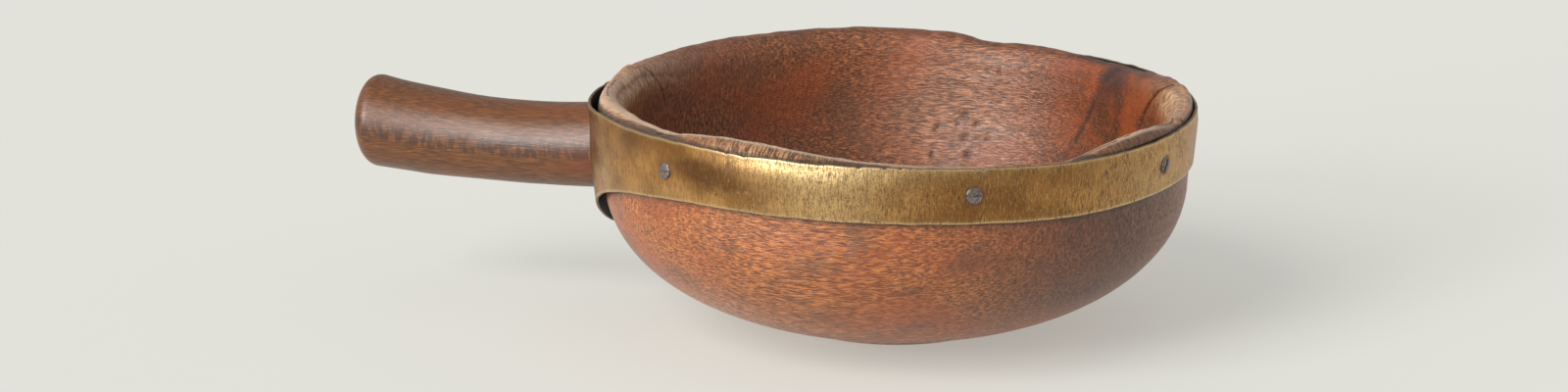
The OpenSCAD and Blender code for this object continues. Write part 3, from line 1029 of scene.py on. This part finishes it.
def worn_metal(name, light, dark, size):
    """A metal with grime of that size in millimetres."""
    n = Nodes(name)
    grime = n.noise(n.scaled(n.coords, size, size, size))
    n.shader.inputs["Metallic"].default_value = 1.0
    colour = n.mix(n.range(grime, 0.35, 0.65), light, dark)
    return n.surface(colour, n.range(grime, 0.3, 0.7, 0.38, 0.55), n.bump(grime, 0.05))


def floor_paint():
    """A pale, matt floor that glows slightly, so that it comes out as light as the walls of a studio."""
    n = Nodes("pale_floor")
    tone = n.noise(n.scaled(n.coords, 300, 300, 300), detail=2)
    n.join(n.mix(tone, srgb(170, 170, 165), srgb(172, 172, 167)), n.shader.inputs["Base Color"])
    n.shader.inputs["Roughness"].default_value = 0.9
    n.shader.inputs["Specular IOR Level"].default_value = 0.1
    n.shader.inputs["Emission Color"].default_value = srgb(222, 222, 214)
    n.shader.inputs["Emission Strength"].default_value = 0.5
    return n.material


# ---------------------------------------------------------------- the object
def dress_node(name, material):
    """Give a CAD node that shows as it is a material."""
    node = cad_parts[name]
    node.data.materials.clear()
    node.data.materials.append(material)


bowl = make_bowl(bowl_wood())
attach(bowl, "root")
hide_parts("bowl")

hoop = make_hoop(band_brass())
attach(hoop, "root")
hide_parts("brass_hoop")

handle = make_handle(handle_wood())
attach(handle, "root")
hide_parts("handle")

dress_node("tenon_wedge", plain_wood())
steel = worn_metal("screw_steel", srgb(150, 140, 136), srgb(108, 96, 92), 0.6)
for number in range(len(SCREW_AT)):
    dress_node(f"hoop_screw_{number + 1}", steel)
rivet_brass = worn_metal("rivet_brass", srgb(200, 156, 92), srgb(120, 84, 50), 1.5)
for number in (1, 2):
    dress_node(f"seam_rivet_{number}", rivet_brass)


# ---------------------------------------------------------------- floor, light and camera
def make_floor():
    bpy.ops.mesh.primitive_grid_add(x_subdivisions=8, y_subdivisions=8, size=12)
    floor = bpy.context.object
    floor.name = "floor"
    floor.data.materials.append(floor_paint())


def unit_vector(azimuth, elevation):
    """Points the way given by degrees anticlockwise from +X and degrees above the horizon."""
    a, e = math.radians(azimuth), math.radians(elevation)
    return Vector((math.cos(a) * math.cos(e), math.sin(a) * math.cos(e), math.sin(e)))


def soft_sun(name, azimuth, elevation, spread, strength):
    """A broad soft light from one direction, all angles in degrees."""
    light = bpy.data.lights.new(name, "SUN")
    light.angle = math.radians(spread)
    light.energy = strength
    lamp = bpy.data.objects.new(name, light)
    bpy.context.scene.collection.objects.link(lamp)
    lamp.rotation_euler = (-unit_vector(azimuth, elevation)).to_track_quat("-Z", "Y").to_euler()


def make_lights():
    """A white room, a broad key light from the front left, and a smaller one low down beside it."""
    world = bpy.data.worlds.new("studio")
    world.use_nodes = True
    world.node_tree.nodes["Background"].inputs["Color"].default_value = (1.0, 1.0, 1.0, 1)
    world.node_tree.nodes["Background"].inputs["Strength"].default_value = 0.45
    bpy.context.scene.world = world
    soft_sun("key", azimuth=240, elevation=34, spread=40, strength=2.3)
    soft_sun("low", azimuth=242, elevation=13, spread=20, strength=1.5)


def make_camera():
    """The camera stands 1.2 m from the middle of the hoop, which it sees off the centre of its frame."""
    azimuth, elevation = 15, 11.5
    heading, pitch = 16.656, 12.881
    distance = 1.2
    aim = Vector((HOOP_X * MM, 0, 70 * MM))
    camera_data = bpy.data.cameras.new("camera")
    camera_data.sensor_width = 36
    camera_data.lens = 88.5
    camera_data.clip_start = 0.01
    camera = bpy.data.objects.new("camera", camera_data)
    bpy.context.scene.collection.objects.link(camera)
    camera.location = aim + unit_vector(azimuth - 90, elevation) * distance
    camera.rotation_euler = (math.radians(90 - pitch), 0, math.radians(heading))
    bpy.context.scene.camera = camera


make_floor()
make_lights()
make_camera()
bpy.context.scene.view_settings.view_transform = "Standard"
